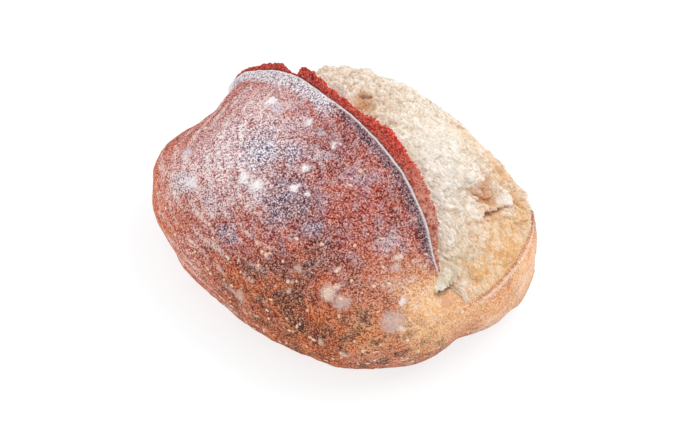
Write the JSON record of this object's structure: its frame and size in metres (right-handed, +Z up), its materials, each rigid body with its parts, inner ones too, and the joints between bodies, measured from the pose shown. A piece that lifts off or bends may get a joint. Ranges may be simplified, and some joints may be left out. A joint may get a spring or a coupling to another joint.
{
  "type": "wheat bread",
  "caption": "Oval hearth-baked wheat loaf with one long off-centre score, a raised crust ear along it and a craggy pale opening beside it.",
  "frame": {"origin": "centre of the bounding box at the level of the flat underside", "axes": "+Z up; X along the loaf's long side, with the score's low front end towards +X; +Y towards the side that opened beside the score"},
  "size_m": [0.24, 0.1957, 0.1095],
  "materials": {
    "baked_crust": null
  },
  "bodies": {
    "root": {"loaf": "baked_crust"}
  },
  "joints": []
}
